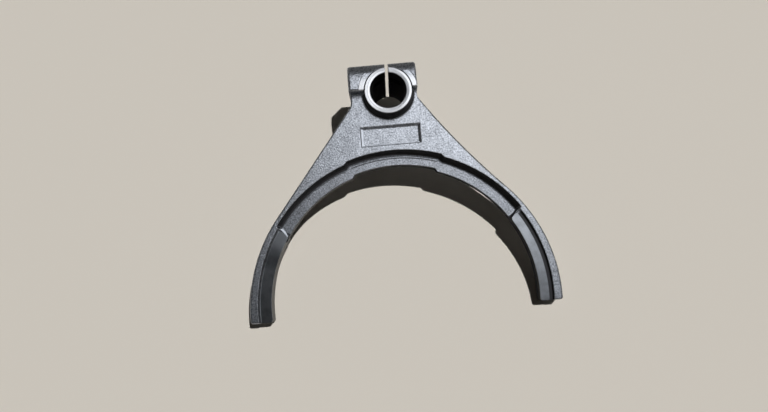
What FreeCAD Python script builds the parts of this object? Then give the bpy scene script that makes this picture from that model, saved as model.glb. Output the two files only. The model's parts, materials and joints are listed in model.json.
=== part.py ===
import FreeCAD, Part
import os
from math import acos, asin, atan, atan2, cos, degrees, pi, sin

import Sketcher
from FreeCAD import Placement, Rotation, Vector

# A shift fork: one forged steel piece. A split hub clamps on a gearbox rail, a flat web runs from
# the hub to a half-round arc, and the arc's inner rail carries two raised end pads that ride in
# the groove of a sliding sleeve.
#
# Built in the hub's own frame, in millimetres: the bore's axis is Z, the web's upper face is z = 0
# and the arc's centre lies on -Y. At the end the fork is laid down as it rests on a table, on the
# hub's lower end and the two arm tips.

os.makedirs("parts", exist_ok=True)
doc = FreeCAD.newDocument("shift_fork")

SIZES = [
    # hub
    ("bore_radius", 11.0, "bore for the rail"),
    ("hub_rise", 7.9, "hub face above the web"),
    ("hub_drop", 40.4, "hub end below the web's upper face"),
    ("hub_face_radius", 14.1, "machined hub face"),
    ("hub_collar", 2.2, "straight collar below the hub face"),
    ("hub_foot_spread", 1.2, "hub at the web's upper face, beyond its face"),
    ("hub_low_spread", 2.3, "hub near its lower end, beyond its face"),
    ("mouth_width", 1.5, "shallow ring round the bore's upper mouth"),
    ("mouth_fall", 0.25, "fall of that ring towards the bore"),
    ("low_bevel", 0.4, "bevels at the hub's lower end"),
    ("hub_fillet", 1.5, "fillet between the hub and the web's upper face"),
    ("under_fillet", 3.0, "fillet between the hub and the web's lower face"),
    # clamp block
    ("block_left_gap", 0.5, "block's reach on -X beyond the web's neck"),
    ("block_right_gap", 0.3, "block's reach on +X beyond the web's neck"),
    ("block_near", 1.2, "block's near side, from the bore's axis"),
    ("block_far", 17.5, "block's far side, from the bore's axis"),
    ("block_ridge", 12.9, "where the block's upper face starts to fall"),
    ("block_rise", 7.3, "block's upper face above the web"),
    ("block_shoulder", 4.4, "block's far edge above the web"),
    ("block_drop", 19.0, "block's lower face below the web's upper face"),
    ("block_round", 1.5, "rounding of the block's edges"),
    ("ridge_round", 15.0, "rounding where the block's upper face starts to fall"),
    ("spot_width", 3.7, "spot-faced ring beside the hub face"),
    ("spot_depth", 0.9, "hub face above the spot-faced ring"),
    ("trough_width", 0.6, "trough between the hub face and that ring"),
    ("trough_depth", 0.9, "the trough's depth below that ring"),
    ("slit_width", 2.0, "clamping slit"),
    ("bolt_radius", 4.25, "cross hole for the clamp bolt"),
    ("bolt_offset", 11.6, "cross hole from the bore's axis"),
    ("bolt_depth", 6.0, "cross hole below the web's upper face"),
    # web
    ("web_thick", 12.0, "web plate and arms"),
    ("neck_left_gap", 6.9, "web's neck on -X, beyond the hub's lower end"),
    ("neck_right_gap", 1.0, "web's neck on +X, beyond the hub's lower end"),
    ("neck_left_foot", 5.6, "left flank's start, below the bore's axis"),
    ("neck_right_foot", 2.6, "right flank's start, below the bore's axis"),
    ("neck_round", 7.0, "rounding at the left flank's start"),
    ("flank_radius", 450.0, "hollow curve of the right flank"),
    ("plate_length", 35.3, "recessed label plate along X"),
    ("plate_height", 11.4, "recessed label plate along Y"),
    ("plate_shift", 0.75, "label plate's middle on -X"),
    ("plate_from_hub", 25.5, "label plate's middle from the bore's axis"),
    ("plate_depth", 2.0, "recess of the label plate"),
    ("plate_bevel", 0.5, "sloped rim of the recess"),
    ("plate_fillet", 1.0, "fillet at the foot of the recess's walls"),
    # arc
    ("arc_offset", 124.0, "bore's axis to the arc's centre"),
    ("pad_inner_radius", 78.7, "inner wall at the end pads"),
    ("rail_gap", 0.5, "inner wall of the rail, outside that of the pads"),
    ("relief_gap", 2.2, "inner wall of the middle relief, outside that of the pads"),
    ("pad_width", 7.8, "end pads, from the inner wall to the step wall"),
    ("rail_width", 8.6, "rail, from its inner wall to the step wall"),
    ("relief_width", 8.3, "middle relief, from its inner wall to the step wall"),
    ("rim_width", 4.8, "from the pads' step wall to the outer edge"),
    ("outer_shift", 1.9, "outer edge's centre beyond the arc's centre"),
    ("pad_step", 2.0, "end pads below the web's upper face"),
    ("rail_step", 6.0, "rail below the web's upper face"),
    ("pad_wall_lean", 0.6, "how far the step wall leans in at the pads"),
    ("wall_draft", 12.0, "draft of the rail's step wall, degrees"),
    ("wall_fillet", 2.4, "fillet at the foot of the rail's step wall"),
    ("pad_fillet", 0.8, "fillet at the foot of the pads' step wall"),
    ("pad_angle", 56.2, "end pads start here at the step wall, degrees from the middle"),
    ("pad_skew", 1.8, "extra angle of the pads' start at the inner wall, degrees"),
    ("relief_angle", 17.7, "half angle of the inner relief, degrees"),
    ("relief_wall_angle", 18.7, "half angle of the wall's relief, degrees"),
    ("relief_skew", 2.6, "extra angle where the relief's ends run out, degrees"),
    ("inner_bevel", 1.5, "bevel along the arms' lower inner edge"),
    ("tip_drop", 7.1, "arm ends below the arc's centre"),
    ("tip_round", 1.6, "upright corners of the arm ends"),
    ("edge_round", 1.0, "rounding of the upper outer edge"),
    ("low_round", 0.6, "rounding of the lower outer edge"),
]

sheet = doc.addObject("Spreadsheet::Sheet", "dims")
sheet.Label = "dims"
for row, (alias, number, words) in enumerate(SIZES, 1):
    sheet.set(f"A{row}", alias)
    sheet.set(f"B{row}", str(number))
    sheet.set(f"C{row}", words)
    sheet.setAlias(f"B{row}", alias)
doc.recompute()

body = doc.addObject("PartDesign::Body", "shift_fork")
body.Label = "shift_fork"

HUB_FOOT = "dims.hub_face_radius + dims.hub_foot_spread"
HUB_LOW = "dims.hub_face_radius + dims.hub_low_spread"
NECK_LEFT = "(" + HUB_LOW + " + dims.neck_left_gap)"
NECK_RIGHT = "(" + HUB_LOW + " + dims.neck_right_gap)"
BLOCK_LEFT = "(" + HUB_LOW + " + dims.neck_left_gap + dims.block_left_gap)"
BLOCK_RIGHT = "(" + HUB_LOW + " + dims.neck_right_gap + dims.block_right_gap)"
SPOT_FACE = "dims.hub_face_radius + dims.spot_width"
AT_ARC = "-dims.arc_offset"
PAD_INNER = "dims.pad_inner_radius"
RAIL_INNER = PAD_INNER + " + dims.rail_gap"
RELIEF_INNER = PAD_INNER + " + dims.relief_gap"
PAD_WALL = PAD_INNER + " + dims.pad_width"
RAIL_WALL = RAIL_INNER + " + dims.rail_width"
RELIEF_WALL = RELIEF_INNER + " + dims.relief_width"
OUTER = PAD_WALL + " + dims.rim_width"
AT_OUTER = "-dims.arc_offset - dims.outer_shift"


def size(text):
    """The number that a size expression gives now."""
    return float(body.evalExpression(text))


def plane(role):
    for feature in body.Origin.OriginFeatures:
        if feature.Role == role:
            return feature
    raise RuntimeError("no origin plane " + role)


def sketch(name, role, shift=None):
    made = body.newObject("Sketcher::SketchObject", name)
    made.AttachmentSupport = (plane(role), "")
    made.MapMode = "FlatFace"
    if shift:
        made.setExpression("AttachmentOffset.Base.x", shift)
    doc.recompute()
    return made


def pin(made, geo, pos, across, up):
    """Hold a point of the sketch at two size expressions."""
    for kind, text, axis in (("DistanceX", across, -2), ("DistanceY", up, -1)):
        if text == "0":
            made.addConstraint(Sketcher.Constraint("PointOnObject", geo, pos, axis))
        elif text:
            index = made.addConstraint(Sketcher.Constraint(kind, -1, 1, geo, pos, size(text)))
            made.setExpression(f"Constraints[{index}]", text)


def polygon(made, corners):
    """A closed outline of straight lines through corners given as expressions."""
    points = [Vector(size(a), size(b), 0) for a, b in corners]
    count = len(points)
    for i in range(count):
        made.addGeometry(Part.LineSegment(points[i], points[(i + 1) % count]), False)
    for i in range(count):
        made.addConstraint(Sketcher.Constraint("Coincident", i, 2, (i + 1) % count, 1))
    for i, (a, b) in enumerate(corners):
        pin(made, i, 1, a, b)


def circle(made, across, up, radius):
    made.addGeometry(Part.Circle(Vector(size(across), size(up), 0), Vector(0, 0, 1), size(radius)))
    pin(made, 0, 3, across, up)
    index = made.addConstraint(Sketcher.Constraint("Radius", 0, size(radius)))
    made.setExpression(f"Constraints[{index}]", radius)


def checked(made):
    doc.recompute()
    if not made.isValid() or made.Shape.isNull() or not made.Shape.isValid():
        raise RuntimeError(made.Name + " did not build")
    return made


def feature(kind, name, profile, sizes=None, **settings):
    made = body.newObject("PartDesign::" + kind, name)
    made.Profile = profile
    for key, item in settings.items():
        setattr(made, key, item)
    for path, text in (sizes or {}).items():
        made.setExpression(path, text)
    profile.Visibility = False
    return checked(made)


def turned(kind, name, corners, shift=None, angle=None):
    """A profile turned about the bore's axis, or about the arc's axis when shifted there."""
    made = sketch(name + "_profile", "YZ_Plane", shift)
    polygon(made, corners)
    if angle:
        return feature(kind, name, made, {"Angle": angle}, ReferenceAxis=(made, ["V_Axis"]), Midplane=True)
    return feature(kind, name, made, ReferenceAxis=(made, ["V_Axis"]))


def rounded(kind, name, radius, test):
    """A fillet or chamfer on the body's edges that pass the test."""
    base = body.Tip
    names = [f"Edge{i}" for i, edge in enumerate(base.Shape.Edges, 1) if test(edge)]
    if not names:
        raise RuntimeError("no edges for " + name)
    made = body.newObject("PartDesign::" + kind, name)
    made.Base = (base, names)
    made.setExpression("Radius" if kind == "Fillet" else "Size", radius)
    return checked(made)


def close(a, b, within=0.02):
    return abs(a - b) < within


def middle(edge):
    return edge.valueAt((edge.FirstParameter + edge.LastParameter) / 2)


def upright(edge):
    box = edge.BoundBox
    return box.XLength < 0.01 and box.YLength < 0.01 and box.ZLength > 0.1


def level(edge, height):
    return close(edge.BoundBox.ZMin, height) and close(edge.BoundBox.ZMax, height)


def from_arc(point):
    """Distance from the arc's axis, and angle from its middle."""
    along = point.y + size("dims.arc_offset")
    return (point.x ** 2 + along ** 2) ** 0.5, degrees(atan2(point.x, along))


# Clamp block, across the hub
block_profile = sketch("block_profile", "YZ_Plane")
polygon(block_profile, [
    ("dims.block_near", "-dims.block_drop"),
    ("dims.block_far", "-dims.block_drop"),
    ("dims.block_far", "dims.block_shoulder"),
    ("dims.block_ridge", "dims.block_rise"),
    ("dims.block_near", "dims.block_rise"),
])
feature("Pad", "block", block_profile, {"Length": BLOCK_RIGHT, "Length2": BLOCK_LEFT},
        SideType="Two sides")


def on_block_edge(edge):
    """The block's outer edges, apart from those on its near side's lower part."""
    spot = middle(edge)
    on_end = close(spot.x, size(BLOCK_RIGHT)) or close(spot.x, -size(BLOCK_LEFT))
    along = close(spot.y, size("dims.block_far")) or close(spot.z, size("dims.block_rise"))
    return (on_end or along) and not close(spot.y, size("dims.block_near")) or \
        (close(spot.y, size("dims.block_near")) and close(spot.z, size("dims.block_rise")))


def on_block_ridge(edge):
    spot = middle(edge)
    return close(spot.y, size("dims.block_ridge")) and close(spot.z, size("dims.block_rise"))


rounded("Fillet", "ridge_rounding", "dims.ridge_round", on_block_ridge)
rounded("Fillet", "block_rounding", "dims.block_round", on_block_edge)

# Hub
turned("Revolution", "hub", [
    ("dims.bore_radius - 2", "dims.hub_rise"),
    ("dims.hub_face_radius", "dims.hub_rise"),
    ("dims.hub_face_radius", "dims.hub_rise - dims.hub_collar"),
    (HUB_FOOT, "0"),
    (HUB_LOW, "-dims.hub_drop + dims.low_bevel"),
    (HUB_LOW + " - dims.low_bevel", "-dims.hub_drop"),
    ("dims.bore_radius - 2", "-dims.hub_drop"),
])

# Web, with the arms' outline
outline = sketch("outline", "XY_Plane")
far = size(OUTER)
near = size(PAD_INNER)
hollow = size("dims.flank_radius")
centre = Vector(0, size(AT_ARC), 0)
outer_centre = Vector(0, size(AT_OUTER), 0)
up = Vector(0, 0, 1)
outer_tip = asin(size("dims.tip_drop - dims.outer_shift") / far)
inner_tip = asin(size("dims.tip_drop") / near)


def on_outer(angle):
    return outer_centre + Vector(far * cos(angle), far * sin(angle), 0)


def on_inner(angle):
    return centre + Vector(near * cos(angle), near * sin(angle), 0)


right_foot = Vector(size(NECK_RIGHT), -size("dims.neck_right_foot"), 0)
left_foot = Vector(-size(NECK_LEFT), -size("dims.neck_left_foot"), 0)
right_top = Vector(right_foot.x, size("dims.block_near") + 2, 0)
left_top = Vector(left_foot.x, right_top.y, 0)

# Where the straight left flank and the hollow right flank touch the outer edge
left_apart = left_foot - outer_centre
left_touch = atan2(left_apart.y, left_apart.x) + acos(far / left_apart.Length)
right_apart = right_foot - outer_centre
reach = far + hollow
swing = (reach ** 2 + right_apart.Length ** 2 - hollow ** 2) / (2 * reach * right_apart.Length)
right_touch = atan2(right_apart.y, right_apart.x) - acos(swing)
hollow_centre = outer_centre + Vector(reach * cos(right_touch), reach * sin(right_touch), 0)
to_foot = right_foot - hollow_centre
foot_angle = atan2(to_foot.y, to_foot.x) % (2 * pi)

big = Part.Circle(outer_centre, up, far)
small = Part.Circle(centre, up, near)
outline.addGeometry([
    Part.ArcOfCircle(big, -outer_tip, right_touch),
    Part.ArcOfCircle(Part.Circle(hollow_centre, up, hollow), foot_angle, right_touch + pi),
    Part.LineSegment(right_foot, right_top),
    Part.LineSegment(right_top, left_top),
    Part.LineSegment(left_top, left_foot),
    Part.LineSegment(left_foot, on_outer(left_touch)),
    Part.ArcOfCircle(big, left_touch, pi + outer_tip),
    Part.LineSegment(on_outer(pi + outer_tip), on_inner(pi + inner_tip)),
    Part.ArcOfCircle(small, -inner_tip, pi + inner_tip),
    Part.LineSegment(on_inner(-inner_tip), on_outer(-outer_tip)),
], False)
for first, end, second, start in [(1, 1, 2, 1), (2, 2, 3, 1), (3, 2, 4, 1), (4, 2, 5, 1), (6, 2, 7, 1),
                                  (7, 2, 8, 2), (8, 1, 9, 1), (9, 2, 0, 1)]:
    outline.addConstraint(Sketcher.Constraint("Coincident", first, end, second, start))
outline.addConstraint(Sketcher.Constraint("Tangent", 0, 2, 1, 2))
outline.addConstraint(Sketcher.Constraint("Tangent", 5, 2, 6, 1))
pin(outline, 0, 3, "0", AT_OUTER)
pin(outline, 8, 3, "0", AT_ARC)
outline.addConstraint(Sketcher.Constraint("Coincident", 6, 3, 0, 3))
outline.addConstraint(Sketcher.Constraint("Equal", 0, 6))
for geo, text in ((0, OUTER), (1, "dims.flank_radius"), (8, PAD_INNER)):
    index = outline.addConstraint(Sketcher.Constraint("Radius", geo, size(text)))
    outline.setExpression(f"Constraints[{index}]", text)
pin(outline, 1, 1, NECK_RIGHT, "-dims.neck_right_foot")
pin(outline, 2, 2, NECK_RIGHT, "dims.block_near + 2")
pin(outline, 3, 2, "-" + NECK_LEFT, "dims.block_near + 2")
pin(outline, 4, 2, "-" + NECK_LEFT, "-dims.neck_left_foot")
for geo, pos in ((9, 2), (9, 1), (7, 1), (7, 2)):
    pin(outline, geo, pos, None, "-dims.arc_offset - dims.tip_drop")
feature("Pad", "web", outline, {"Length": "dims.web_thick"}, Reversed=True)

# Step down from the web to the end pads, then to the rail and its middle relief
turned("Groove", "pad_cut", [
    (PAD_INNER + " - 5", "1"),
    (PAD_WALL, "1"),
    (PAD_WALL, "0"),
    (PAD_WALL + " - dims.pad_wall_lean", "-dims.pad_step"),
    (PAD_INNER + " - 5", "-dims.pad_step"),
], AT_ARC)


def polar(radius, angle):
    """The sketch expressions of a point at a radius and an angle from the arc's middle."""
    return f"({radius}) * sin({angle})", f"({radius}) * cos({angle}) - dims.arc_offset"


def band(name, outer, inner):
    """A stretch of ring across the arc's middle: each rim is (radius, half angle) in expressions."""
    made = sketch(name + "_profile", "XY_Plane")
    for radius, angle in (outer, inner):
        half = size(angle) * pi / 180
        rim = Part.Circle(centre, up, size(radius))
        made.addGeometry(Part.ArcOfCircle(rim, pi / 2 - half, pi / 2 + half), False)
    for geo, (radius, angle) in enumerate((outer, inner)):
        across, along = polar(radius, angle)
        pin(made, geo, 3, "0", AT_ARC)
        pin(made, geo, 1, across, along)
        made.addConstraint(Sketcher.Constraint("Horizontal", geo, 1, geo, 2))
    for end in (1, 2):
        low = made.Geometry[1].StartPoint if end == 1 else made.Geometry[1].EndPoint
        high = made.Geometry[0].StartPoint if end == 1 else made.Geometry[0].EndPoint
        made.addGeometry(Part.LineSegment(low, high), False)
        made.addConstraint(Sketcher.Constraint("Coincident", 1 + end, 1, 1, end))
        made.addConstraint(Sketcher.Constraint("Coincident", 1 + end, 2, 0, end))
    return made


step = {"Length": "dims.rail_step", "TaperAngle": "-dims.wall_draft"}
feature("Pocket", "rail_cut", band(
    "rail_cut", (RAIL_WALL, "dims.pad_angle"),
    (PAD_INNER + " - 4", "dims.pad_angle + dims.pad_skew * 1.5")), step)
feature("Pocket", "relief_cut", band(
    "relief_cut", (RELIEF_WALL, "dims.relief_wall_angle"),
    (RAIL_WALL + " - 6", "dims.relief_wall_angle + dims.relief_skew * 4")), step)
feature("Pocket", "rail_inner_cut", band(
    "rail_inner_cut", (RAIL_INNER, "dims.pad_angle + dims.pad_skew"),
    (PAD_INNER + " - 4", "dims.pad_angle + dims.pad_skew * 1.5")),
    Type="ThroughAll", SideType="Symmetric")
feature("Pocket", "relief_inner_cut", band(
    "relief_inner_cut", (RELIEF_INNER, "dims.relief_angle"),
    (PAD_INNER + " - 1", "dims.relief_angle + dims.relief_skew")),
    Type="ThroughAll", SideType="Symmetric")
turned("Groove", "inner_bevel_cut", [
    (PAD_INNER + " - 1", "-dims.web_thick - 1"),
    (PAD_INNER + " + dims.inner_bevel + 1", "-dims.web_thick - 1"),
    (PAD_INNER + " - 1", "-dims.web_thick + dims.inner_bevel + 1"),
], AT_ARC)

# Bore, slit and the clamp bolt's cross hole
turned("Groove", "bore", [
    ("0", "dims.hub_rise + 1"),
    ("dims.bore_radius + dims.mouth_width", "dims.hub_rise + 1"),
    ("dims.bore_radius + dims.mouth_width", "dims.hub_rise"),
    ("dims.bore_radius", "dims.hub_rise - dims.mouth_fall"),
    ("dims.bore_radius", "-dims.hub_drop + dims.low_bevel"),
    ("dims.bore_radius + dims.low_bevel + 1", "-dims.hub_drop - 1"),
    ("0", "-dims.hub_drop - 1"),
])
slit_profile = sketch("slit_profile", "XY_Plane")
polygon(slit_profile, [
    ("-dims.slit_width / 2", "dims.bore_radius - 3"),
    ("dims.slit_width / 2", "dims.bore_radius - 3"),
    ("dims.slit_width / 2", "dims.block_far + 3"),
    ("-dims.slit_width / 2", "dims.block_far + 3"),
])
feature("Pocket", "slit", slit_profile, Type="ThroughAll", SideType="Symmetric")
bolt_profile = sketch("bolt_profile", "YZ_Plane")
circle(bolt_profile, "dims.bolt_offset", "-dims.bolt_depth", "dims.bolt_radius")
feature("Pocket", "bolt_hole", bolt_profile, Type="ThroughAll", SideType="Symmetric")

# Spot-faced ring and trough beside the hub face
turned("Groove", "spot_face", [
    ("dims.hub_face_radius", "dims.hub_rise + 1"),
    (SPOT_FACE, "dims.hub_rise + 1"),
    (SPOT_FACE, "dims.hub_rise - dims.spot_depth"),
    ("dims.hub_face_radius + dims.trough_width", "dims.hub_rise - dims.spot_depth"),
    ("dims.hub_face_radius + dims.trough_width", "dims.hub_rise - dims.spot_depth - dims.trough_depth"),
    ("dims.hub_face_radius", "dims.hub_rise - dims.spot_depth - dims.trough_depth"),
])

# Recessed label plate
plate_profile = sketch("plate_profile", "XY_Plane")
polygon(plate_profile, [
    ("-dims.plate_shift - dims.plate_length / 2", "-dims.plate_from_hub - dims.plate_height / 2"),
    ("-dims.plate_shift + dims.plate_length / 2", "-dims.plate_from_hub - dims.plate_height / 2"),
    ("-dims.plate_shift + dims.plate_length / 2", "-dims.plate_from_hub + dims.plate_height / 2"),
    ("-dims.plate_shift - dims.plate_length / 2", "-dims.plate_from_hub + dims.plate_height / 2"),
])
feature("Pocket", "label_plate", plate_profile, {"Length": "dims.plate_depth"})


def on_plate_rim(edge):
    spot = middle(edge)
    inside = abs(spot.x + size("dims.plate_shift")) < size("dims.plate_length") / 2 + 0.1 and \
        abs(spot.y + size("dims.plate_from_hub")) < size("dims.plate_height") / 2 + 0.1
    return level(edge, 0) and inside


def on_plate_foot(edge):
    return level(edge, -size("dims.plate_depth")) and abs(middle(edge).y + size("dims.plate_from_hub")) < 9


rounded("Fillet", "plate_foot", "dims.plate_fillet", on_plate_foot)
rounded("Chamfer", "plate_rim", "dims.plate_bevel", on_plate_rim)


def on_tip(edge):
    """The upright corners at the arm ends."""
    return upright(edge) and close(middle(edge).y, size("-dims.arc_offset - dims.tip_drop"))


def on_left_foot(edge):
    spot = middle(edge)
    return upright(edge) and close(spot.x, -size(NECK_LEFT)) and close(spot.y, -size("dims.neck_left_foot"))


def on_outer_top(edge):
    """The upper edge along the arms' outside, the tips and the flanks."""
    spot = middle(edge)
    radius, angle = from_arc(spot)
    outside = (spot - outer_centre).Length > far - 0.1 and abs(spot.x) > 16 and spot.y < -3
    tip = radius > size(PAD_WALL) and abs(angle) > 90
    return level(edge, 0) and (outside or tip)


def on_rail_foot(edge):
    radius, angle = from_arc(middle(edge))
    on_wall = size(RELIEF_INNER) + 2 < radius < size(RELIEF_WALL)
    return level(edge, -size("dims.rail_step")) and on_wall and abs(angle) < size("dims.pad_angle") - 1


def on_pad_foot(edge):
    radius, angle = from_arc(middle(edge))
    on_wall = close(radius, size(PAD_WALL + " - dims.pad_wall_lean"))
    return level(edge, -size("dims.pad_step")) and on_wall and abs(angle) > size("dims.pad_angle")


def around_hub(edge, height):
    """The round edge where the hub passes the web at a height."""
    spot = middle(edge)
    round_edge = (spot.x ** 2 + spot.y ** 2) ** 0.5 < size(HUB_LOW) and edge.Length > 20
    return level(edge, height) and round_edge and spot.y < 0


def on_outer_low(edge):
    """The lower edge along the arms' outside and the web's flanks."""
    spot = middle(edge)
    outside = (spot - outer_centre).Length > far - 0.3 and abs(spot.x) > 16 and spot.y < -3
    return level(edge, -size("dims.web_thick")) and outside


rounded("Fillet", "wall_foot", "dims.wall_fillet", on_rail_foot)
rounded("Fillet", "pad_foot", "dims.pad_fillet", on_pad_foot)
rounded("Fillet", "hub_foot", "dims.hub_fillet", lambda edge: around_hub(edge, 0))
rounded("Fillet", "hub_under", "dims.under_fillet", lambda edge: around_hub(edge, -size("dims.web_thick")))
rounded("Fillet", "tip_corners", "dims.tip_round", on_tip)
rounded("Fillet", "left_foot_round", "dims.neck_round", on_left_foot)
rounded("Fillet", "outer_round", "dims.edge_round", on_outer_top)
rounded("Fillet", "low_rounding", "dims.low_round", on_outer_low)

doc.recompute()
for made in doc.Objects:
    if "Invalid" in made.State or "Error" in made.State:
        raise RuntimeError(made.Name + " is in error")
if body.Shape.isNull() or not body.Shape.isValid() or len(body.Shape.Solids) != 1:
    raise RuntimeError("the fork isn't one valid solid")

# Laid down: it rests on the hub's lower edge towards the arc and on the two arm tips
hub_reach = size(HUB_LOW + " - dims.low_bevel")
tip_reach = size("dims.arc_offset + dims.tip_drop")
tilt = atan(size("dims.hub_drop - dims.web_thick") / (tip_reach - hub_reach))
body.Placement = Placement(Vector(0, 0, 0), Rotation(Vector(1, 0, 0), degrees(tilt)))
doc.recompute()
box = body.Shape.optimalBoundingBox(True, False)
body.Placement.Base = Vector(0, -(box.YMin + box.YMax) / 2, -box.ZMin)
doc.recompute()

body.Shape.exportStep("parts/shift_fork.step")
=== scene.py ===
import json
from math import atan2, pi

import bpy
from mathutils import Matrix, Vector

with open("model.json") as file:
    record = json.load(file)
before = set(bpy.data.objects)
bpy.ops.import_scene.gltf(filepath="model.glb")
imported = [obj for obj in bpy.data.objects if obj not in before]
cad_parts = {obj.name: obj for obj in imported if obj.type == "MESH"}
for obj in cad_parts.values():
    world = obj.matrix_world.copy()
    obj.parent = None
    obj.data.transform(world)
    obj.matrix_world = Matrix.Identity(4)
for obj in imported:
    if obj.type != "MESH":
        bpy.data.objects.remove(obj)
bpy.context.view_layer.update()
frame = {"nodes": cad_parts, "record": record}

# A forged steel shift fork. It lies on the floor as it would come to rest: on the lower end of its
# split hub and on the tips of its two arms. Lengths are in metres, in the solids' own frame, and
# those named in millimetres are in the fork's own frame: the bore's axis is Z, the web's upper face
# is z = 0 and the arc lies on -Y.

bl_info = {
    "name": "Shift Fork",
    "version": (1, 0, 0),
    "blender": (4, 5, 0),
    "location": "View3D > Sidebar > Shift Fork",
    "description": "Finishes a forged shift fork and stages it on a pale floor",
    "category": "Object",
}

MOUNTS = {mount["name"]: mount for mount in frame["record"]["mounts"]}

# Sizes that the finishes follow, in millimetres and degrees
HUB_FACE = 7.9
BORE_RADIUS = 11.0
MOUTH_RADIUS = 12.5
FACE_RADIUS = 14.1
SPOT_RADIUS = 17.8
HOLE_RADIUS = 4.25
HOLE_ALONG = 11.6
HOLE_HEIGHT = -6.0
WEB_THICK = 12.0
PLATE_LEFT = -18.4
PLATE_RIGHT = 16.9
PLATE_TOP = -19.8
PLATE_BOTTOM = -31.2
PLATE_DEPTH = 2.0
ARC_OFFSET = 124.0
PAD_INNER = 78.7
PAD_WALL = 86.5
PAD_STEP = 2.0
PAD_ANGLE = 56.2
RAIL_WALL = 87.8
RAIL_STEP = 6.0
RELIEF_INNER = 80.9
RELIEF_ANGLE = 17.7

# Lumps of the blasted grain: their size in millimetres and their share of its height
GRAIN_LUMPS = ((9.0, 1.2), (0.85, 1.0), (2.2, 0.9))

# How much lighter or darker the blasted skin gets: the light and dark specks, and the cloudy tone
SPECK_GAINS = (1.4, 0.6)
CLOUD_GAINS = (0.94, 1.06)

# Roughness of the skin between its two tones, of the turned faces and of the ground pads
SKIN_ROUGH = (0.38, 0.34)
TURNED_ROUGH = 0.30
GROUND_ROUGH = 0.28

# The fork's own frame in the solids' frame: AXIS is its Z, LEAN its turn about X, HUB its origin
AXIS = Vector(MOUNTS["rail_bore"]["axis"]).normalized()
LEAN = atan2(-AXIS.y, AXIS.z)
BORE_MIDDLE = Vector(MOUNTS["rail_bore"]["pos_m"])
FACE_SPOT = Vector(MOUNTS["hub_face"]["pos_m"])
HUB = BORE_MIDDLE + AXIS * ((FACE_SPOT - BORE_MIDDLE).dot(AXIS) - HUB_FACE / 1000)

# Where the lamps stand, as slopes from the hub in the fork's own frame
KEY_SLOPES = (0.328, 0.316, 1)
SOFTBOX_SLOPES = (0.217, 0.312, 1)

# Strength of the surroundings, at the horizon and overhead: as light on the fork, and as seen
FILL = (0.035, 0.018)
BACKDROP = (0.5, 0.018)

# The camera's turn in radians, and the arc's axis seen from it in millimetres
CAMERA_TURN = (-0.121, 0.0105, -0.0821)
CAMERA_AWAY = (12.4, 54.2, 329.0)

# The picture's width and the focal length in pixels
VIEW_WIDTH = 768
VIEW_FOCAL = 565

BLACK = (0.0, 0.0, 0.0, 1.0)


class ForkFinish(bpy.types.PropertyGroup):
    """The finish of the forging and of its turned and ground faces."""

    steel: bpy.props.FloatVectorProperty(
        name="Blasted steel", description="Colour of the shot-blasted forging",
        subtype="COLOR", size=3, min=0, max=1, default=(0.322, 0.343, 0.382))
    bright: bpy.props.FloatVectorProperty(
        name="Turned steel", description="Colour of the turned faces round the bore",
        subtype="COLOR", size=3, min=0, max=1, default=(0.49, 0.505, 0.535))
    ground: bpy.props.FloatVectorProperty(
        name="Ground steel", description="Colour of the ground end pads",
        subtype="COLOR", size=3, min=0, max=1, default=(0.205, 0.22, 0.243))
    # Painted shade: the near-black colour painted on shaded walls, in shaded corners and in the bore, where
    # only shade falls.
    scale: bpy.props.FloatVectorProperty(
        name="Scale", description="Colour of the dark scale left in corners and in the bore",
        subtype="COLOR", size=3, min=0, max=1, default=(0.03, 0.03, 0.033))
    grain: bpy.props.FloatProperty(
        name="Grain", description="Height of the shot-blasted grain, in millimetres",
        default=0.12, min=0, max=0.2)
    marks: bpy.props.FloatProperty(
        name="Turning marks", description="Height of the turning marks, in millimetres",
        default=0.05, min=0, max=0.2)
    edge: bpy.props.FloatProperty(
        name="Worn edges", description="Radius of the worn edges", subtype="DISTANCE",
        default=0.0005, min=0, max=0.002, precision=5)


class ForkStage(bpy.types.PropertyGroup):
    """The floor, the lamps and the camera."""

    floor: bpy.props.FloatVectorProperty(
        name="Floor", description="Colour of the floor",
        subtype="COLOR", size=3, min=0, max=1, default=(0.70, 0.655, 0.585))
    floor_side: bpy.props.FloatProperty(
        name="Floor's reach", description="From the middle of the floor to its edges",
        subtype="DISTANCE", default=3.0, min=0.5)
    sun: bpy.props.FloatProperty(
        name="Key lamp", description="Strength of the key lamp", default=2.7, min=0)
    sun_angle: bpy.props.FloatProperty(
        name="Key lamp's size", description="Angle that the key lamp fills", subtype="ANGLE",
        default=0.02, min=0, max=1)
    softbox: bpy.props.FloatProperty(
        name="Softbox", description="Brightness of the round softbox", default=2.6, min=0)
    softbox_width: bpy.props.FloatProperty(
        name="Softbox's width", description="Diameter of the softbox", subtype="DISTANCE",
        default=1.18, min=0.1)
    softbox_away: bpy.props.FloatProperty(
        name="Softbox's distance", description="How far the softbox is from the hub",
        subtype="DISTANCE", default=1.5, min=0.5)
    surroundings: bpy.props.FloatVectorProperty(
        name="Surroundings", description="Colour of the light from all round",
        subtype="COLOR", size=3, min=0, max=1, default=(1.0, 0.95, 0.88))
    focal: bpy.props.FloatProperty(
        name="Focal length", description="Focal length on a 36 mm wide sensor, in millimetres",
        default=VIEW_FOCAL / VIEW_WIDTH * 36, min=1)


def node(tree, kind, inputs=None, **settings):
    """A node in the tree; its inputs are sockets to link or values to set."""
    made = tree.nodes.new(kind)
    for key, value in settings.items():
        setattr(made, key, value)
    for key, value in (inputs or {}).items():
        if isinstance(value, bpy.types.NodeSocket):
            tree.links.new(value, made.inputs[key])
        else:
            made.inputs[key].default_value = value
    return made


def number(tree, operation, *values):
    """A sum on one or two numbers, or on the sockets that give them."""
    return node(tree, "ShaderNodeMath", dict(enumerate(values)), operation=operation).outputs[0]


def vector(tree, operation, inputs):
    """A sum on vectors."""
    return node(tree, "ShaderNodeVectorMath", inputs, operation=operation).outputs[0]


def times(tree, first, *rest):
    """The product of masks or numbers: where all the masks hold."""
    for factor in rest:
        first = number(tree, "MULTIPLY", first, factor)
    return first


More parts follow.
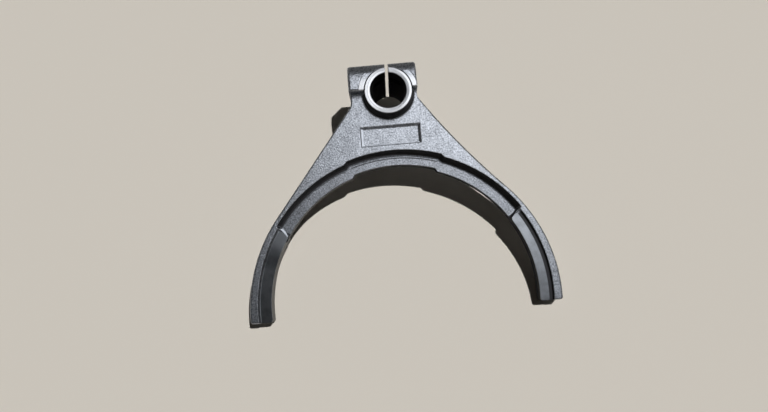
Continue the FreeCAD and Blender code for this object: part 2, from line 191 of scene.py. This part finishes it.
def either(tree, first, *rest):
    """The highest of masks or numbers: where any of the masks holds."""
    for other in rest:
        first = number(tree, "MAXIMUM", first, other)
    return first


def length(tree, first, second):
    """The length of a line with these two reaches at right angles."""
    squares = number(tree, "ADD", times(tree, first, first), times(tree, second, second))
    return number(tree, "SQRT", squares)


def ramp(tree, value, low, high):
    """0 at low, 1 at high, smooth between; low may be the higher number."""
    made = node(tree, "ShaderNodeMapRange", {"Value": value, "From Min": low, "From Max": high},
                interpolation_type="SMOOTHSTEP")
    return made.outputs["Result"]


def between(tree, value, low, high, soft):
    """1 from low to high, with soft edges."""
    rise = ramp(tree, value, low - soft, low + soft)
    fall = ramp(tree, value, high + soft, high - soft)
    return times(tree, rise, fall)


def blend(tree, factor, first, second):
    """From the first colour to the second."""
    made = node(tree, "ShaderNodeMix", {0: factor, 6: first, 7: second}, data_type="RGBA")
    return made.outputs[2]


def mix(tree, factor, first, second):
    """From the first number to the second."""
    made = node(tree, "ShaderNodeMix", {0: factor, 2: first, 3: second}, data_type="FLOAT")
    return made.outputs[0]


def noise(tree, spot, size, detail, rough):
    """Noise from 0 to 1 with lumps of a size in millimetres."""
    made = node(tree, "ShaderNodeTexNoise", {
        "Vector": spot, "Scale": 1 / size, "Detail": detail, "Roughness": rough})
    return made.outputs[0]


def group(name, results, vectors=()):
    """An empty node group and its output node; the results are numbers, apart from the vectors."""
    made = bpy.data.node_groups.new(name, "ShaderNodeTree")
    for label in results:
        kind = "NodeSocketVector" if label in vectors else "NodeSocketFloat"
        made.interface.new_socket(label, in_out="OUTPUT", socket_type=kind)
    return made, node(made, "NodeGroupOutput")


def put_out(tree, out, results):
    """Links the results to the group's output node, and gives the group back."""
    for label, value in results.items():
        tree.links.new(value, out.inputs[label])
    return tree


def place(tree, made):
    """The outputs of a group that is placed in the tree."""
    return node(tree, "ShaderNodeGroup", node_tree=made).outputs


def fork_place_group():
    """Where a point is on the fork, in millimetres and degrees: its place in the fork's own frame,
    its distance from the bore's axis, and its distance and angle from the arc's axis."""
    made, out = group("Fork place", (
        "Place", "Height", "From bore", "From arc", "Arc angle", "Along", "Across"), ("Place",))
    point = node(made, "ShaderNodeTexCoord").outputs["Object"]
    apart = vector(made, "SUBTRACT", {0: point, 1: HUB})
    turned = node(made, "ShaderNodeVectorRotate", {"Vector": apart, "Angle": -LEAN}, rotation_type="X_AXIS")
    spot = vector(made, "SCALE", {0: turned.outputs[0], "Scale": 1000.0})
    across, along, height = node(made, "ShaderNodeSeparateXYZ", {0: spot}).outputs
    from_arc = number(made, "ADD", along, ARC_OFFSET)
    angle = number(made, "DEGREES", number(made, "ARCTAN2", across, from_arc))
    return put_out(made, out, {
        "Place": spot, "Height": height, "Along": along, "Across": across,
        "From bore": length(made, across, along),
        "From arc": length(made, across, from_arc),
        "Arc angle": number(made, "ABSOLUTE", angle)})


def hub_masks(tree, spot):
    """Turned: the face round the bore and the spot-faced ring beside it. Face shade: painted shade on a
    line round the bore's mouth, and on the face's parts nearest to the arc and furthest from it. Bored:
    the bore and the cross hole, painted dark as shade. Scale: painted shade in the trough beside the
    face, and on the collar below it."""
    height, bore, along, across = (spot[key] for key in ("Height", "From bore", "Along", "Across"))
    face = times(tree, ramp(tree, height, HUB_FACE - 2.4, HUB_FACE - 2.1),
                 between(tree, bore, BORE_RADIUS, FACE_RADIUS + 0.05, 0.04))
    spot_face = times(tree, between(tree, bore, FACE_RADIUS, SPOT_RADIUS - 0.05, 0.12),
                      between(tree, height, HUB_FACE - 1.3, HUB_FACE - 0.82, 0.05),
                      ramp(tree, along, 0.6, 1.4), ramp(tree, along, 11.0, 5.0))
    # Painted shade: the turned face darker towards the arc and away from it, where its marks catch less
    # light.
    sideways = number(tree, "ABSOLUTE", number(tree, "DIVIDE", across, bore))
    ends = times(tree, ramp(tree, bore, MOUTH_RADIUS - 0.2, MOUTH_RADIUS + 0.1),
                 ramp(tree, sideways, 0.9, 0.35))
    # Painted shade: a dark line round the bore's mouth.
    line = between(tree, bore, MOUTH_RADIUS - 0.2, MOUTH_RADIUS + 0.2, 0.1)
    # The bore and the cross hole, which are painted dark as shade.
    bored = times(tree, ramp(tree, bore, BORE_RADIUS + 0.2, BORE_RADIUS + 0.1),
                  ramp(tree, height, HUB_FACE - 1.0, HUB_FACE - 1.4))
    from_hole = length(tree, number(tree, "SUBTRACT", along, HOLE_ALONG),
                       number(tree, "SUBTRACT", height, HOLE_HEIGHT))
    hole = ramp(tree, from_hole, HOLE_RADIUS + 0.2, HOLE_RADIUS + 0.1)
    # Painted shade in the trough beside the face.
    trough = times(tree, between(tree, bore, FACE_RADIUS - 0.1, FACE_RADIUS + 0.65, 0.1),
                   between(tree, height, HUB_FACE - 3.9, HUB_FACE - 1.05, 0.1))
    # Painted shade on the collar below the face, where its wall and its shadow are.
    collar = times(tree, between(tree, bore, FACE_RADIUS - 0.2, FACE_RADIUS + 3.5, 0.5),
                   between(tree, height, 0.25, HUB_FACE - 0.3, 0.15), ramp(tree, along, 1.0, 0.4))
    return {"Turned": either(tree, face, spot_face), "Face shade": either(tree, ends, line),
            "Bored": either(tree, bored, hole), "Scale": either(tree, trough, collar)}


def plate_rim(tree, spot):
    """A painted highlight on the left and the lower wall of the recessed plate, where they catch the light.
    """
    height, along, across = (spot[key] for key in ("Height", "Along", "Across"))
    # Painted highlight: these walls get a lighter steel colour.
    left = times(tree, between(tree, across, PLATE_LEFT - 0.1, PLATE_LEFT + 1.4, 0.05),
                 between(tree, along, PLATE_BOTTOM - 0.1, PLATE_TOP + 0.1, 0.1))
    bottom = times(tree, between(tree, along, PLATE_BOTTOM - 0.1, PLATE_BOTTOM + 0.7, 0.05),
                   between(tree, across, PLATE_LEFT, PLATE_RIGHT - 0.1, 0.1))
    return times(tree, either(tree, left, bottom), between(tree, height, -PLATE_DEPTH - 0.3, -0.02, 0.02))


def rail_masks(tree, spot):
    """Rail: painted shade on the rail's floor. Inside: painted shade on the arc's inner wall, below its
    upper edge. Scale: painted shade on the step wall, and in the crease at its foot along the relief."""
    height, arc, angle = (spot[key] for key in ("Height", "From arc", "Arc angle"))
    # Painted shade on the rail's floor.
    floor = times(tree, ramp(tree, arc, RAIL_WALL + 2.2, RAIL_WALL + 0.7), ramp(tree, height, -1.0, -4.5),
                  ramp(tree, angle, PAD_ANGLE + 0.8, PAD_ANGLE - 0.2))
    top = mix(tree, ramp(tree, angle, PAD_ANGLE - 0.4, PAD_ANGLE + 1.6), -RAIL_STEP - 0.3, -PAD_STEP - 0.3)
    below = ramp(tree, number(tree, "SUBTRACT", height, top), 0.0, -0.3)
    # Painted shade on the step wall.
    wall = times(tree, between(tree, arc, RAIL_WALL - 2.9, RAIL_WALL + 2.2, 0.35),
                 between(tree, height, 0.2 - RAIL_STEP, -0.35, 0.25),
                 ramp(tree, angle, PAD_ANGLE - 0.2, PAD_ANGLE - 0.9))
    # Painted shade in the crease at the foot of the step wall, along the relief.
    crease = times(tree, between(tree, arc, RAIL_WALL - 2.9, RAIL_WALL - 2.3, 0.12),
                   between(tree, height, -RAIL_STEP - 0.2, 0.4 - RAIL_STEP, 0.05),
                   ramp(tree, angle, RELIEF_ANGLE + 0.8, RELIEF_ANGLE - 0.2))
    # Painted shade on the arc's inner wall, below its upper edge.
    inside = times(tree, ramp(tree, arc, RELIEF_INNER + 1.9, RELIEF_INNER + 1.6), below)
    return {"Rail": floor, "Inside": inside,
            "Scale": either(tree, wall, times(tree, crease, 0.9))}


def pad_masks(tree, spot):
    """Ground: the end pads' upper faces and inner walls. Lighter start and Stain: the left pad lighter
    near its riser, and its dark patch. Painted highlight: on the left pad's riser. Scale: painted shade
    on the right pad's riser, and painted shadow at the foot of its step wall."""
    height, arc, angle, across = (spot[key] for key in ("Height", "From arc", "Arc angle", "Across"))
    upper = times(tree, between(tree, arc, PAD_INNER - 8.7, PAD_WALL - 0.3, 0.15),
                  between(tree, height, -PAD_STEP - 0.2, 0.3 - PAD_STEP, 0.1))
    inner = times(tree, between(tree, arc, PAD_INNER - 8.7, PAD_INNER + 0.3, 0.1),
                  ramp(tree, height, 1.0 - WEB_THICK, 1.5 - WEB_THICK))
    ground = times(tree, either(tree, upper, inner), ramp(tree, angle, PAD_ANGLE + 0.3, PAD_ANGLE + 1.0))
    on_left = ramp(tree, across, 0.0, -5.0)
    on_right = ramp(tree, across, 0.0, 5.0)
    riser = times(tree, between(tree, height, 0.3 - RAIL_STEP, -PAD_STEP - 0.25, 0.1),
                  between(tree, arc, PAD_INNER - 0.7, PAD_WALL + 0.1, 0.1),
                  between(tree, angle, PAD_ANGLE - 0.6, PAD_ANGLE + 3.8, 0.2))
    # Painted shadow on the right pad at the foot of its step wall.
    corner = times(tree, between(tree, arc, PAD_WALL - 2.6, PAD_WALL - 0.1, 0.2),
                   between(tree, height, -PAD_STEP - 0.3, -0.4, 0.1),
                   ramp(tree, angle, PAD_ANGLE + 0.8, PAD_ANGLE + 1.8))
    # A painted highlight on the left pad's riser; painted shade on the right pad's riser and corner.
    return {"Ground": ground,
            "Lighter start": times(tree, on_left, ramp(tree, angle, 66.0, 61.0)),
            "Stain": times(tree, on_left, between(tree, angle, 67.0, 72.0, 2.0)),
            "Painted highlight": times(tree, riser, on_left, ramp(tree, arc, PAD_WALL - 0.9, PAD_WALL - 1.5)),
            "Scale": times(tree, either(tree, riser, corner), on_right)}


def fork_zones_group(where):
    """Masks of the finishes, of the painted shade and of the painted highlight, gathered from the hub,
    the plate, the rail and the end pads.
    """
    made, out = group("Fork zones", (
        "Turned", "Face shade", "Ground", "Bored", "Scale", "Rail", "Inside", "Painted highlight", "Lighter start", "Stain"))
    spot = place(made, where)
    hub, rail, pads = (masks(made, spot) for masks in (hub_masks, rail_masks, pad_masks))
    # Painted shade from the hub, the rail and the pads; painted highlight from the plate and the left pad.
    joined = {"Scale": either(made, hub["Scale"], rail["Scale"], pads["Scale"]),
              "Painted highlight": either(made, plate_rim(made, spot), pads["Painted highlight"])}
    return put_out(made, out, {**hub, **rail, **pads, **joined})


def grain_group(where):
    """Shot-blasted skin: fine pits and broader lumps as a height, fine specks and a cloudy tone."""
    made, out = group("Blasted grain", ("Height", "Specks", "Tone"))
    spot = place(made, where)["Place"]
    height, *others = (
        times(made, noise(made, spot, size, 1, 0.55), share) for size, share in GRAIN_LUMPS)
    for lumps in others:
        height = number(made, "ADD", height, lumps)
    return put_out(made, out, {
        "Height": height,
        "Specks": ramp(made, noise(made, spot, 1.0, 2, 0.7), 0.3, 0.7),
        "Tone": ramp(made, noise(made, spot, 6.0, 3, 0.55), 0.3, 0.7)})


def marks_group(where):
    """Tool marks: fine Rings about the bore's axis and Rows about the arc's axis, deeper and
    shallower at random."""
    made, out = group("Tool marks", ("Rings", "Rows"))
    spot = place(made, where)
    marks = {}
    for label, key, size in (("Rings", "From bore", 0.16), ("Rows", "From arc", 0.22)):
        line = node(made, "ShaderNodeCombineXYZ", {0: spot[key]}).outputs[0]
        marks[label] = noise(made, line, size, 3.0, 0.6)
    return put_out(made, out, marks)


def colour(value, gain=1.0):
    """A colour, lighter or darker by a gain, with alpha."""
    return tuple(min(1.0, part * gain) for part in value) + (1.0,)


def steel_tone(tree, finish, zones, grain, marks):
    """The colour of the steel: specks on the blasted skin, painted shade on the rail's floor and a painted
    highlight on rims, then the faces that tools left, and painted shade on the turned face, on the arc's
    inner wall, in the bore and in corners.
    """
    light, dark = (
        blend(tree, grain["Tone"], *(colour(finish.steel, gain * cloud) for cloud in CLOUD_GAINS))
        for gain in SPECK_GAINS)
    skin = blend(tree, grain["Specks"], dark, light)
    # Painted shade on the rail's floor.
    skin = blend(tree, times(tree, zones["Rail"], 0.28), skin, BLACK)
    # A painted highlight: a lighter copy of the steel on rims that catch the light.
    skin = blend(tree, zones["Painted highlight"], skin, colour(finish.steel, 1.25))
    # Painted shade: a darker copy of the turned steel where the face catches less light.
    turned = blend(tree, zones["Face shade"], colour(finish.bright), colour(finish.bright, 0.6))

    streaks = ramp(tree, marks["Rows"], 0.35, 0.65)
    worn = times(tree, number(tree, "ADD", streaks, grain["Tone"]), 0.5)
    ground = blend(tree, worn, colour(finish.ground, 0.72), colour(finish.ground, 1.3))
    # The left pad lighter near its riser.
    ground = blend(tree, zones["Lighter start"], ground, colour(finish.ground, 1.6))
    ground = blend(tree, times(tree, zones["Stain"], 0.4), ground, BLACK)

    tone = blend(tree, zones["Turned"], skin, turned)
    tone = blend(tree, zones["Ground"], tone, ground)
    # Painted shade on the arc's inner wall.
    tone = blend(tree, times(tree, zones["Inside"], 0.88), tone, BLACK)
    # The bore and the cross hole painted dark as shade.
    tone = blend(tree, zones["Bored"], tone, colour(finish.scale))
    # Painted shade in corners and on shaded walls.
    return blend(tree, zones["Scale"], tone, colour(finish.scale))


def steel_normal(tree, finish, zones, grain, marks):
    """The normal: soft edges, rims leaned up along the bore's axis so that they catch the light, and
    the height of the grain and of the tool marks."""
    smooth = either(tree, zones["Turned"], zones["Ground"], zones["Bored"])
    skin = times(tree, grain["Height"], number(tree, "SUBTRACT", 1.0, smooth), finish.grain)
    turned = times(tree, marks["Rings"], zones["Turned"])
    ground = times(tree, marks["Rows"], zones["Ground"], 0.25)
    cut = times(tree, number(tree, "ADD", turned, ground), finish.marks)
    height = number(tree, "ADD", skin, cut)

    soft = node(tree, "ShaderNodeBevel", {"Radius": finish.edge}, samples=8).outputs[0]
    lean = vector(tree, "SCALE", {0: AXIS, "Scale": times(tree, zones["Painted highlight"], 3.0)})
    leaned = vector(tree, "NORMALIZE", {0: vector(tree, "ADD", {0: soft, 1: lean})})
    bump = node(tree, "ShaderNodeBump", {"Height": height, "Distance": 0.001, "Normal": leaned})
    return bump.outputs[0]


def steel_material(finish):
    """Forged steel: blasted skin, bright turned faces at the bore, ground end pads, and painted shade and
    a painted highlight.
    """
    made = bpy.data.materials.new("forged_steel")
    made.use_nodes = True
    tree = made.node_tree
    tree.nodes.clear()
    where = fork_place_group()
    zones, grain, marks = (
        place(tree, build(where)) for build in (fork_zones_group, grain_group, marks_group))

    rough = mix(tree, grain["Tone"], *SKIN_ROUGH)
    rough = mix(tree, zones["Turned"], rough, TURNED_ROUGH)
    rough = mix(tree, zones["Ground"], rough, GROUND_ROUGH)
    # The painted shade is matt, not metal, so that nothing shines in it.
    painted_shade_matt = either(tree, zones["Inside"], zones["Bored"], zones["Scale"])
    shader = node(tree, "ShaderNodeBsdfPrincipled", {
        "Base Color": steel_tone(tree, finish, zones, grain, marks),
        "Metallic": number(tree, "SUBTRACT", 1.0, painted_shade_matt),
        "Roughness": rough,
        "Specular IOR Level": 0.1,
        "Normal": steel_normal(tree, finish, zones, grain, marks)})
    node(tree, "ShaderNodeOutputMaterial", {0: shader.outputs[0]})
    return made


def floor_material(stage):
    """Matt and pale."""
    made = bpy.data.materials.new("pale_floor")
    made.use_nodes = True
    shader = made.node_tree.nodes["Principled BSDF"]
    shader.inputs["Base Color"].default_value = colour(stage.floor)
    shader.inputs["Roughness"].default_value = 0.9
    shader.inputs["Specular IOR Level"].default_value = 0.2
    return made


def to_row(direction):
    """A direction in the fork's own frame, in the solids' frame."""
    return Matrix.Rotation(LEAN, 3, "X") @ direction


class FORK_OT_finish(bpy.types.Operator):
    """Gives the fork its blasted, turned and ground steel."""

    bl_idname = "fork.finish"
    bl_label = "Finish the fork"

    def execute(self, context):
        fork = frame["nodes"]["shift_fork"]
        fork.data.materials.clear()
        fork.data.materials.append(steel_material(context.scene.fork_finish))
        return {"FINISHED"}


class FORK_OT_stage(bpy.types.Operator):
    """Sets the floor, the lamps and the camera."""

    bl_idname = "fork.stage"
    bl_label = "Stage the fork"

    def execute(self, context):
        scene = context.scene
        stage = scene.fork_stage
        scene.view_settings.view_transform = "Standard"
        floor = self.floor(stage)
        scene.collection.objects.link(floor)
        for lamp in (self.key(stage), self.softbox(stage)):
            scene.collection.objects.link(lamp)
        scene.world = self.surroundings(stage)
        scene.camera = self.camera(stage)
        scene.collection.objects.link(scene.camera)
        return {"FINISHED"}

    @staticmethod
    def floor(stage):
        """A square floor about the fork."""
        side = stage.floor_side
        mesh = bpy.data.meshes.new("floor")
        mesh.from_pydata([(-side, -side, 0), (side, -side, 0), (side, side, 0), (-side, side, 0)],
                         [], [(0, 1, 2, 3)])
        mesh.materials.append(floor_material(stage))
        return bpy.data.objects.new("floor", mesh)

    def key(self, stage):
        """The lamp that draws the shadows; it makes no highlight."""
        lamp = self.aimed("key", "SUN", KEY_SLOPES, 1.0)
        lamp.data.energy = stage.sun
        lamp.data.angle = stage.sun_angle
        lamp.visible_glossy = False
        return lamp

    def softbox(self, stage):
        """The round softbox that the steel mirrors; its power follows from its size."""
        lamp = self.aimed("softbox", "AREA", SOFTBOX_SLOPES, stage.softbox_away)
        lamp.data.shape = "DISK"
        lamp.data.size = stage.softbox_width
        lamp.data.energy = stage.softbox * (pi * stage.softbox_width / 2) ** 2
        lamp.visible_diffuse = False
        return lamp

    @staticmethod
    def aimed(name, kind, slopes, away):
        """A lamp that shines on the hub from slopes in the fork's own frame."""
        towards = to_row(Vector(slopes).normalized())
        lamp = bpy.data.objects.new(name, bpy.data.lights.new(name, kind))
        lamp.location = HUB + towards * away
        lamp.rotation_euler = towards.to_track_quat("Z", "Y").to_euler()
        return lamp

    @staticmethod
    def surroundings(stage):
        """A weak light from all round, which looks pale at the horizon to the eye and in the steel."""
        world = bpy.data.worlds.new("studio")
        world.use_nodes = True
        tree = world.node_tree
        way = node(tree, "ShaderNodeTexCoord").outputs["Generated"]
        up = node(tree, "ShaderNodeSeparateXYZ", {0: way}).outputs[2]
        fill = mix(tree, ramp(tree, up, 0.15, 0.75), *FILL)
        backdrop = mix(tree, ramp(tree, up, 0.1, 0.6), *BACKDROP)
        rays = node(tree, "ShaderNodeLightPath").outputs
        seen = either(tree, rays["Is Camera Ray"], rays["Is Glossy Ray"])
        background = tree.nodes["Background"]
        background.inputs["Color"].default_value = colour(stage.surroundings)
        tree.links.new(mix(tree, seen, fill, backdrop), background.inputs["Strength"])
        return world

    @staticmethod
    def camera(stage):
        """The camera, from its turn and the arc's place in its view."""
        turn = Vector(CAMERA_TURN)
        look = Matrix.Rotation(turn.length, 3, turn.normalized()) @ Matrix.Diagonal((1, -1, -1))
        spot = -(look.transposed() @ Vector(CAMERA_AWAY)) - Vector((0, ARC_OFFSET, 0))
        columns = [to_row(Vector(way)) for way in (look[0], -look[1], -look[2])]
        data = bpy.data.cameras.new("camera")
        data.sensor_width = 36
        data.lens = stage.focal
        data.shift_x = -0.5 / VIEW_WIDTH
        data.shift_y = 0.5 / VIEW_WIDTH
        data.clip_start = 0.01
        made = bpy.data.objects.new("camera", data)
        at = Matrix.Translation(HUB + to_row(spot) / 1000)
        made.matrix_world = at @ Matrix(columns).transposed().to_4x4()
        return made


class FORK_PT_panel(bpy.types.Panel):
    """The fork's finish and stage, in the sidebar."""

    bl_label = "Shift Fork"
    bl_idname = "FORK_PT_panel"
    bl_space_type = "VIEW_3D"
    bl_region_type = "UI"
    bl_category = "Shift Fork"

    def draw(self, context):
        for owner in (context.scene.fork_finish, context.scene.fork_stage):
            for key in owner.__annotations__:
                self.layout.prop(owner, key)
        self.layout.operator("fork.finish")
        self.layout.operator("fork.stage")


CLASSES = (ForkFinish, ForkStage, FORK_OT_finish, FORK_OT_stage, FORK_PT_panel)


def register():
    for item in CLASSES:
        bpy.utils.register_class(item)
    bpy.types.Scene.fork_finish = bpy.props.PointerProperty(type=ForkFinish)
    bpy.types.Scene.fork_stage = bpy.props.PointerProperty(type=ForkStage)


def unregister():
    del bpy.types.Scene.fork_stage
    del bpy.types.Scene.fork_finish
    for item in reversed(CLASSES):
        bpy.utils.unregister_class(item)


def main():
    register()
    bpy.ops.fork.finish()
    bpy.ops.fork.stage()


if __name__ == "__main__":
    main()
